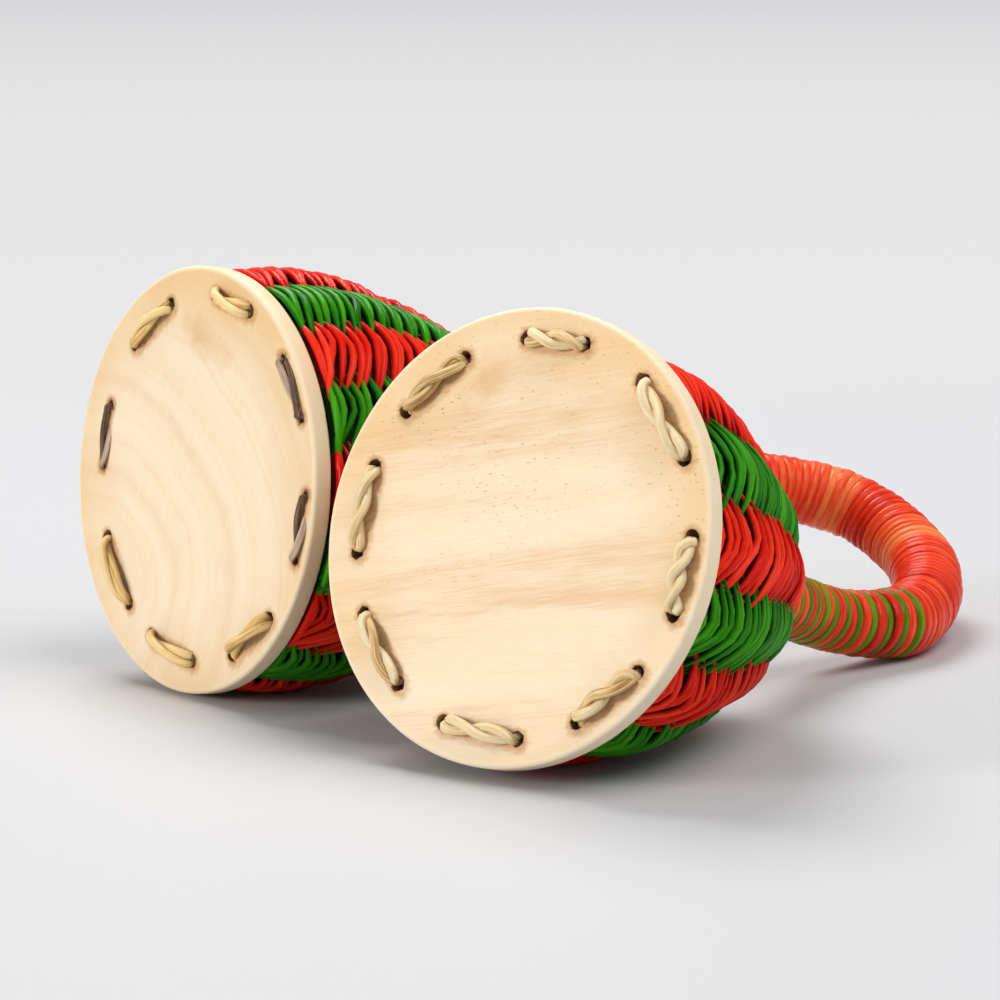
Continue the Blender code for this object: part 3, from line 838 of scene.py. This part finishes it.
def stainDisc(wall, done):
    stainAndShadow = done.verts.layers.float.new("stainAndShadow")
    pairs = holePairs(wall.side)
    stained = stitches[wall.side]["stained"]
    shadowShift = Vector(bases["paintedShadowShift"])
    for vert in done.verts:
        gap = vert.co - wall.foot
        flat = Vector((gap.dot(wall.across), gap.dot(wall.down)))
        near = min((flat - hole).length for pair in pairs for hole in pair) - bases["holeRadius"]
        strengths = [math.exp(-(max(0.0, near) / bases["holeStain"]) ** 2)]
        for number, (first, last) in enumerate(pairs, 1):
            torn = number in stained
            # ordinary stitches get a painted shadow on the wood, moved right and down to where the shadow
            # falls
            spot = flat if torn else flat - shadowShift
            along = min(1.0, max(0.0, (spot - first).dot(last - first) / (last - first).length_squared))
            beside = (spot - first.lerp(last, along)).length
            half, edge, most = bases["tornStainAndShade" if torn else "paintedStitchShadow"]
            strengths.append(most * math.exp(-(max(0.0, beside - half) / edge) ** 2))
        vert[stainAndShadow] = max(strengths)


def turnDisc(wall):
    disc, drill = blankDisc(wall), discDrill(wall)
    cutter = disc.modifiers.new("holes", "BOOLEAN")
    cutter.operation = "DIFFERENCE"
    cutter.solver = "EXACT"
    cutter.object = drill
    bpy.context.view_layer.update()
    ready = disc.evaluated_get(bpy.context.evaluated_depsgraph_get())
    mesh = bpy.data.meshes.new_from_object(ready)
    done = bmesh.new()
    done.from_mesh(mesh)
    for rough in (disc, drill):
        spare = rough.data
        bpy.data.objects.remove(rough)
        bpy.data.meshes.remove(spare)
    bpy.data.meshes.remove(mesh)
    stainDisc(wall, done)
    piece = addPiece(wall.side + "Base", done, woodFinish(wall))
    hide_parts(wall.side + "_base_disc")
    print(wall.side, "base turned,", len(piece.data.polygons), "faces")


for wall in walls.values():
    turnDisc(wall)


# stitches through the bases

def curvePoint(points, share):
    place = min(max(share, 0.0), 1.0) * (len(points) - 1)
    number = min(int(place), len(points) - 2)
    t = place - number
    a = points[max(number - 1, 0)]
    b = points[number]
    c = points[number + 1]
    d = points[min(number + 2, len(points) - 1)]
    return 0.5 * ((2.0 * b) + (c - a) * t + (2.0 * a - 5.0 * b + 4.0 * c - d) * t ** 2
                  + (3.0 * b - a - 3.0 * c + d) * t ** 3)


def sewStitch(wall, number, pair, dice):
    setting = stitches[wall.side]
    stained = number in setting["stained"]
    rise = stitches["rise"] * (stitches["tornRise"] if stained else dice.uniform(*stitches["riseSpread"]))
    size = stitches["tornSize"] if stained else dice.uniform(*stitches["sizeSpread"])
    twist = setting["twist"] * dice.uniform(*stitches["twistSpread"])
    first = dice.uniform(0.0, math.pi)
    route = []
    inset = 0.0 if stained else stitches["inset"] / (pair[1] - pair[0]).length
    for along, height in stitches["profile"]:
        flat = pair[0].lerp(pair[1], inset + (1.0 - 2.0 * inset) * along)
        high = height * rise if height > 0.01 else height
        route.append(wall.place(flat.x, flat.y, -discThickness - high))
    chord = wall.across * (pair[1].x - pair[0].x) + wall.down * (pair[1].y - pair[0].y)
    sideways = chord.cross(wall.toTip).normalized()
    strands = []
    for ply in (0.0, math.pi):
        def pathAt(share):
            middle = curvePoint(route, share)
            swing = first + ply + math.tau * twist * (share - 0.5)
            tuck = min(1.0, 0.55 + 3.0 * min(share, 1.0 - share))
            apart = stitches["plyApart"] * tuck * size
            aside = middle + sideways * (apart * math.cos(swing))
            return aside - wall.toTip * (0.8 * apart * math.sin(swing))

        rings = []
        for ring in range(stitches["rings"]):
            share = ring / (stitches["rings"] - 1)
            ahead = pathAt(min(1.0, share + 0.01)) - pathAt(max(0.0, share - 0.01))
            lean = -wall.toTip
            wide = lean.cross(ahead)
            wide = (wide if wide.length > 1e-7 else sideways).normalized()
            if wide.dot(sideways) < 0.0:
                wide = -wide
            thick = ahead.cross(wide).normalized()
            edge = min(share, 1.0 - share)
            tuck = size * min(1.0, 0.70 + 2.0 * edge)
            if stained:     # flat and torn, with pointed ends
                tuck *= (0.30 + 0.80 * math.sin(math.pi * share)) * (1.0 if ply else stitches["tornNarrow"])
            # painted shade towards the ends, where the stitch goes into its holes
            depth = max(0.0, 1.0 - edge / stitches["tornPaintedShadeEnd" if stained else "paintedShadeEnd"])
            flatness = stitches["tornFlat"] if stained else 1.0
            rings.append((pathAt(share), wide * (0.5 * stitches["plyWidth"] * tuck),
                          thick * (0.5 * stitches["plyThickness"] * tuck * flatness), depth))
        tone = dice.random()
        if stained:
            tone = stitches["tornTones"][1 if ply else 0]
        strands.append({"rings": rings, "tone": tone})
    return strands


def sewBase(wall, straws):
    setting = stitches[wall.side]
    dice = random.Random(bases[wall.side]["seed"] + stitches["seedStep"])
    for number, pair in enumerate(holePairs(wall.side), 1):
        strands = sewStitch(wall, number, pair, dice)
        shape = layStrands(strands, stitches["sides"], stitches["rings"], dice)
        bmesh.ops.recalc_face_normals(shape, faces=shape.faces)
        kind = "stained" if number in setting["stained"] else setting["straw"]
        piece = addPiece(f"{wall.side}Stitch.{number}", shape, straws[kind])
        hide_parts(f"{wall.side}_stitch_{number}")
    print(wall.side, "stitches sewn")


straws = {kind: strawFinish(kind) for kind in ("pale", "yellow", "stained")}
for wall in walls.values():
    sewBase(wall, straws)


# handle

handle = {
    "middle": (-0.00547, -0.07982, 0.0),
    "route": ((0.0365, 0.0935, 0.0162), (0.0344, 0.1070, 0.0118), (0.0345, 0.1200, 0.0091),
              (0.0332, 0.1325, 0.0079), (0.0279, 0.1454, 0.0084), (0.0190, 0.1587, 0.0105),
              (0.0078, 0.1695, 0.0138), (-0.0050, 0.1752, 0.0182), (-0.0170, 0.1740, 0.0236),
              (-0.0270, 0.1645, 0.0275), (-0.0322, 0.1490, 0.0302), (-0.0336, 0.1330, 0.0328),
              (-0.0328, 0.1150, 0.0354)),
    "routeSteps": 900,
    "neckRun": 0.008,
    "startBelow": 0.004,       # the wrap starts inside the basket's tip
    "turnPitch": 0.0049,       # two strands lie side by side in one turn
    "strandWidth": 0.0030,
    "strandThickness": 0.0013,
    "pointsPerTurn": 24,
    "sides": 8,
    "greenTurns": (0.7, 14.0),
    "greenShare": 0.85,        # the green strand is a little narrower
    "secondStart": 0.5,        # in turns
    "endGaps": (0.1, 0.6),     # turns by which the strands stop short of the left end
    "coilRadius": 0.0062,      # of the straight coil, before it is bent onto the route
    "unevenWidth": 0.2,
    "unevenStep": 0.0003,
    "lumps": (0.00036, 0.00017),
    "toneRange": (-0.25, 1.5),
    "mottle": 0.65,
    # painted shade at the edges of each turn: where it starts, as a share of the half width, and its
    # strength
    "paintedShadeFrom": 0.55,
    "paintedShading": 0.75,
    "streakStep": 2.4,
    # metres along the wrap from its right end: its radius, and how bright it is painted, partly the dye's
    # own unevenness, partly painted highlight on the bow and painted shade towards the right basket
    "outerRadius": ((0.0, 0.0074), (0.013, 0.0071), (0.044, 0.0071), (0.075, 0.0079), (0.121, 0.0082),
                    (0.171, 0.0077), (0.220, 0.0077)),
    "dyeAndPaintedLight": ((0.0, 0.34), (0.05, 0.28), (0.078, 0.20), (0.098, 0.26), (0.109, 0.42), (0.123, 0.95),
            (0.131, 0.55), (0.141, 0.18), (0.150, 0.75), (0.160, 0.48), (0.220, 0.55)),
}


def easedValue(spots, length):
    number = stepAt([spot for spot, _ in spots], length)
    (start, low), (end, high) = spots[number], spots[number + 1]
    t = min(1.0, (length - start) / (end - start))
    return low + (high - low) * t * t * (3.0 - 2.0 * t)


class HandleRoute:
    def __init__(self):
        middle = Vector(handle["middle"])
        right, left = walls["right"], walls["left"]
        points = [right.place(0.0, 0.0, right.basket["length"] - handle["startBelow"])]
        points.append(right.place(0.0, 0.0, right.basket["length"] + handle["neckRun"]))
        points += [Vector(spot) + middle for spot in handle["route"]]
        points.append(left.place(0.0, 0.0, left.basket["length"] + handle["neckRun"]))
        points.append(left.place(0.0, 0.0, left.basket["length"] - handle["startBelow"]))
        count = handle["routeSteps"]
        self.points = [curvePoint(points, step / count) for step in range(count + 1)]
        self.lengths = [0.0]
        for before, after in zip(self.points, self.points[1:]):
            self.lengths.append(self.lengths[-1] + (after - before).length)
        self.total = self.lengths[-1]
        self.sides = []
        side = Vector((0.0, 0.0, 1.0))
        for number in range(count + 1):     # the side direction is carried along without twisting
            ahead = self.heading(number)
            side = (side - ahead * side.dot(ahead)).normalized()
            self.sides.append(side.copy())

    def heading(self, number):
        ahead = self.points[min(number + 1, len(self.points) - 1)] - self.points[max(number - 1, 0)]
        return ahead.normalized()

    def at(self, length):
        number = stepAt(self.lengths, length)
        share = (length - self.lengths[number]) / (self.lengths[number + 1] - self.lengths[number])
        middle = self.points[number].lerp(self.points[number + 1], share)
        side = self.sides[number].lerp(self.sides[number + 1], share).normalized()
        ahead = self.heading(number).lerp(self.heading(number + 1), share).normalized()
        return middle, side, ahead.cross(side)


def windStrand(route, name, startTurn, turns, phase, finish, seed):
    pitch = handle["turnPitch"]
    halfWide, halfThick = 0.5 * handle["strandWidth"], 0.5 * handle["strandThickness"]
    middleRadius = handle["coilRadius"]
    longLumps, shortLumps = handle["lumps"]
    darkest, brighter = handle["toneRange"]
    narrow = handle["greenShare"] if "green" in name else 1.0
    shape = bmesh.new()
    ring = bmesh.ops.create_circle(shape, segments=handle["sides"], radius=1.0)["verts"]
    for vert in ring:       # a flat oval that stands beside the axis
        x, y = vert.co.x, vert.co.y
        vert.co = (middleRadius + x * halfThick, 0.0, y * halfWide)
    perTurn = handle["pointsPerTurn"]
    steps = round(turns * perTurn)
    bmesh.ops.spin(shape, geom=shape.verts[:] + shape.edges[:], cent=(0, 0, 0), axis=(0, 0, 1),
                   dvec=(0, 0, pitch / perTurn), angle=math.tau * steps / perTurn, steps=steps,
                   use_duplicate=False)
    bmesh.ops.holes_fill(shape, edges=[e for e in shape.edges if e.is_boundary], sides=handle["sides"])
    shape.verts.index_update()
    tone = shape.verts.layers.float.new("tone")
    paintedShading = shape.verts.layers.float.new("paintedShading")
    onStrand = shape.loops.layers.uv.new("strand")
    read = {}
    for vert in shape.verts:
        swing = math.atan2(vert.co.y, vert.co.x) / math.tau
        turn = swing + round(vert.co.z / pitch - swing)
        out = math.hypot(vert.co.x, vert.co.y)
        offset = vert.co.z - pitch * turn
        around = math.atan2((out - middleRadius) / halfThick, offset / halfWide) / math.tau
        read[vert.index] = (turn, around)
        onRoute = startTurn + turn + phase
        wobble = noise.noise(Vector((onRoute * 0.37, phase * 7.0, seed)))
        jitter = noise.noise(Vector((onRoute * 2.3, phase * 7.0 + 3.0, seed)))
        length = pitch * onRoute + offset * narrow * (1.0 + handle["unevenWidth"] * wobble)
        length += handle["unevenStep"] * jitter
        length = min(max(length, 0.0), route.total)
        base = easedValue(handle["outerRadius"], length) - halfThick
        reach = base + (out - middleRadius) + longLumps * wobble + shortLumps * jitter
        middle, side, other = route.at(length)
        swing = -math.tau * (startTurn + turn)
        vert.co = middle + side * (reach * math.cos(swing)) + other * (reach * math.sin(swing))
        mottle = noise.noise(Vector((onRoute * 0.9, seed * 3.1, phase * 5.0)))
        # the tone holds the dye's unevenness and the painted highlight and shade along the wrap
        vert[tone] = brighter * easedValue(handle["dyeAndPaintedLight"], length) + darkest + handle["mottle"] * mottle
        # painted shade along the edges of each turn, where it meets its neighbours
        vert[paintedShading] = max(0.0, abs(offset) / halfWide - handle["paintedShadeFrom"]) * handle["paintedShading"]
    bmesh.ops.recalc_face_normals(shape, faces=shape.faces)
    for face in shape.faces:
        face.smooth = True
        spots = [read[loop.vert.index] for loop in face.loops]
        arounds = [around for _, around in spots]
        if max(arounds) - min(arounds) > 0.5:
            arounds = [a + 1.0 if a < 0.0 else a for a in arounds]
        for loop, (turn, _), around in zip(face.loops, spots, arounds):
            loop[onStrand].uv = (handle["streakStep"] * turn + seed, around)
    return addPiece(name, shape, finish)


def wrapHandle():
    route = HandleRoute()
    turns = route.total / handle["turnPitch"]
    greenStart, greenEnd = handle["greenTurns"]
    firstGap, secondGap = handle["endGaps"]
    second = handle["secondStart"]
    red, green = grasses["handleRed"], grasses["handleGreen"]
    reds = [windStrand(route, "handleWrap.red1", 0.0, turns - firstGap, 0.0, red, 1.0)]
    reds.append(windStrand(route, "handleWrap.red2", 0.0, greenStart, second, red, 3.0))
    restTurns = turns - greenEnd - secondGap
    reds.append(windStrand(route, "handleWrap.red3", greenEnd, restTurns, second, red, 4.0))
    for piece in reds:
        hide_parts("handle_wrap_red")
    stripe = windStrand(route, "handleWrap.green", greenStart, greenEnd - greenStart, second, green, 5.0)
    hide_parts("handle_wrap_green")
    print("handle wrapped,", round(2 * turns), "turns over", round(1000 * route.total), "mm")


wrapHandle()


# pieces kept from the frame

innerFinishes = {
    "bareCane": {"scale": (700.0, 90.0, 700.0), "stops": (0.30, 0.55, 0.80), "gloss": 0.5,
                 "colours": ((0.20, 0.12, 0.05), (0.42, 0.29, 0.13), (0.55, 0.42, 0.22)),
                 "roughness": (0.45, 0.65), "bump": (0.4, 0.0003)},
    "brownSeed": {"scale": (320.0, 320.0, 320.0), "stops": (0.35, 0.55, 0.75), "gloss": 0.5,
                  "colours": ((0.09, 0.035, 0.016), (0.19, 0.085, 0.035), (0.33, 0.17, 0.07)),
                  "roughness": (0.25, 0.42), "bump": (0.2, 0.0003)},
}


def innerFinish(name):
    setting = innerFinishes[name]
    finish, tree, shader = newFinish(name)
    onPiece = addNode(tree, "ShaderNodeTexCoord").outputs["Object"]
    mottle = noiseNode(tree, stretched(tree, onPiece, setting["scale"]), 1.0, 4.0, 0.6)
    tint = colourRamp(tree, mottle, setting["stops"], setting["colours"])
    dress(tree, shader, tint, mottle, mottle, setting, setting["gloss"])
    return finish


def dressFrame():
    cane, seed = innerFinish("bareCane"), innerFinish("brownSeed")
    for name, node in frame["nodes"].items():
        if "_stake_" in name or name == "handle_core":
            node.data.materials.clear()
            node.data.materials.append(cane)
        if name.endswith("_seeds"):
            node.data.materials.clear()
            node.data.materials.append(seed)
    print("frame pieces finished")


dressFrame()


# floor and light

studio = {
    "floorSize": 60.0,
    "floorNear": (0.563, 0.564, 0.573),
    "floorRoughness": 0.6,
    "floorGloss": 0.15,
    "fadeReach": 8.0,
    "fadeStart": (0.030, 0.085),        # shares of that reach
    "fadeTone": (0.04, 1.0),
    "backdropNear": (0.82, 0.82, 0.83),
    "backdropFar": (0.68, 0.68, 0.695),
    "worldColour": (0.97, 0.985, 1.0),
    "worldStrength": 0.33,
    "lampAim": (0.0, -0.02, 0.04),
    "lamps": {"keyLight": ((-0.85, 0.30, 1.40), 1.0, 21.0),      # place, size and power
              "fillLight": ((-0.50, -1.70, 0.48), 0.5, 16.4),
              "sideLight": ((0.85, 0.15, 1.30), 1.1, 13.8)},
}


def addLamp(name, place, size, power):
    data = bpy.data.lights.new(name, "AREA")
    data.shape = "DISK"
    data.size = size
    data.energy = power
    lamp = bpy.data.objects.new(name, data)
    lamp.location = place
    aim = Vector(studio["lampAim"]) - Vector(place)
    lamp.rotation_euler = aim.to_track_quat("-Z", "Y").to_euler()
    bpy.context.scene.collection.objects.link(lamp)


def setStudio():
    shape = bmesh.new()
    bmesh.ops.create_grid(shape, x_segments=8, y_segments=8, size=0.5 * studio["floorSize"])
    floor = bareObject("studioFloor", shape)
    finish, tree, shader = newFinish("paleFloor")
    onFloor = addNode(tree, "ShaderNodeTexCoord").outputs["Object"]
    share = mathNode(tree, "DIVIDE", lengthOf(tree, onFloor), studio["fadeReach"])
    shader.inputs["Base Color"].default_value = (*studio["floorNear"], 1.0)
    shader.inputs["Roughness"].default_value = studio["floorRoughness"]
    shader.inputs["Specular IOR Level"].default_value = studio["floorGloss"]
    paper = addNode(tree, "ShaderNodeEmission")     # far off, the paper shows its own plain tone
    tones = (studio["backdropNear"], studio["backdropFar"])
    tree.links.new(colourRamp(tree, share, studio["fadeTone"], tones), paper.inputs["Color"])
    start = greyRamp(tree, share, *studio["fadeStart"], interpolation="EASE")
    rays = addNode(tree, "ShaderNodeLightPath").outputs
    seen = mathNode(tree, "ADD", rays["Is Camera Ray"], rays["Is Glossy Ray"])
    seen = mathNode(tree, "ADD", seen, rays["Is Transmission Ray"], True)
    blend = addNode(tree, "ShaderNodeMixShader")
    tree.links.new(mathNode(tree, "MULTIPLY", start, seen), blend.inputs["Fac"])
    tree.links.new(shader.outputs["BSDF"], blend.inputs[1])
    tree.links.new(paper.outputs["Emission"], blend.inputs[2])
    tree.links.new(blend.outputs["Shader"], tree.nodes["Material Output"].inputs["Surface"])
    floor.data.materials.append(finish)
    world = bpy.data.worlds.new("studioLight")
    world.use_nodes = True
    sky = world.node_tree.nodes["Background"]
    sky.inputs["Color"].default_value = (*studio["worldColour"], 1.0)
    sky.inputs["Strength"].default_value = studio["worldStrength"]
    bpy.context.scene.world = world
    for name, setting in studio["lamps"].items():
        addLamp(name, *setting)
    bpy.context.scene.view_settings.view_transform = "Standard"
    print("studio set")


setStudio()
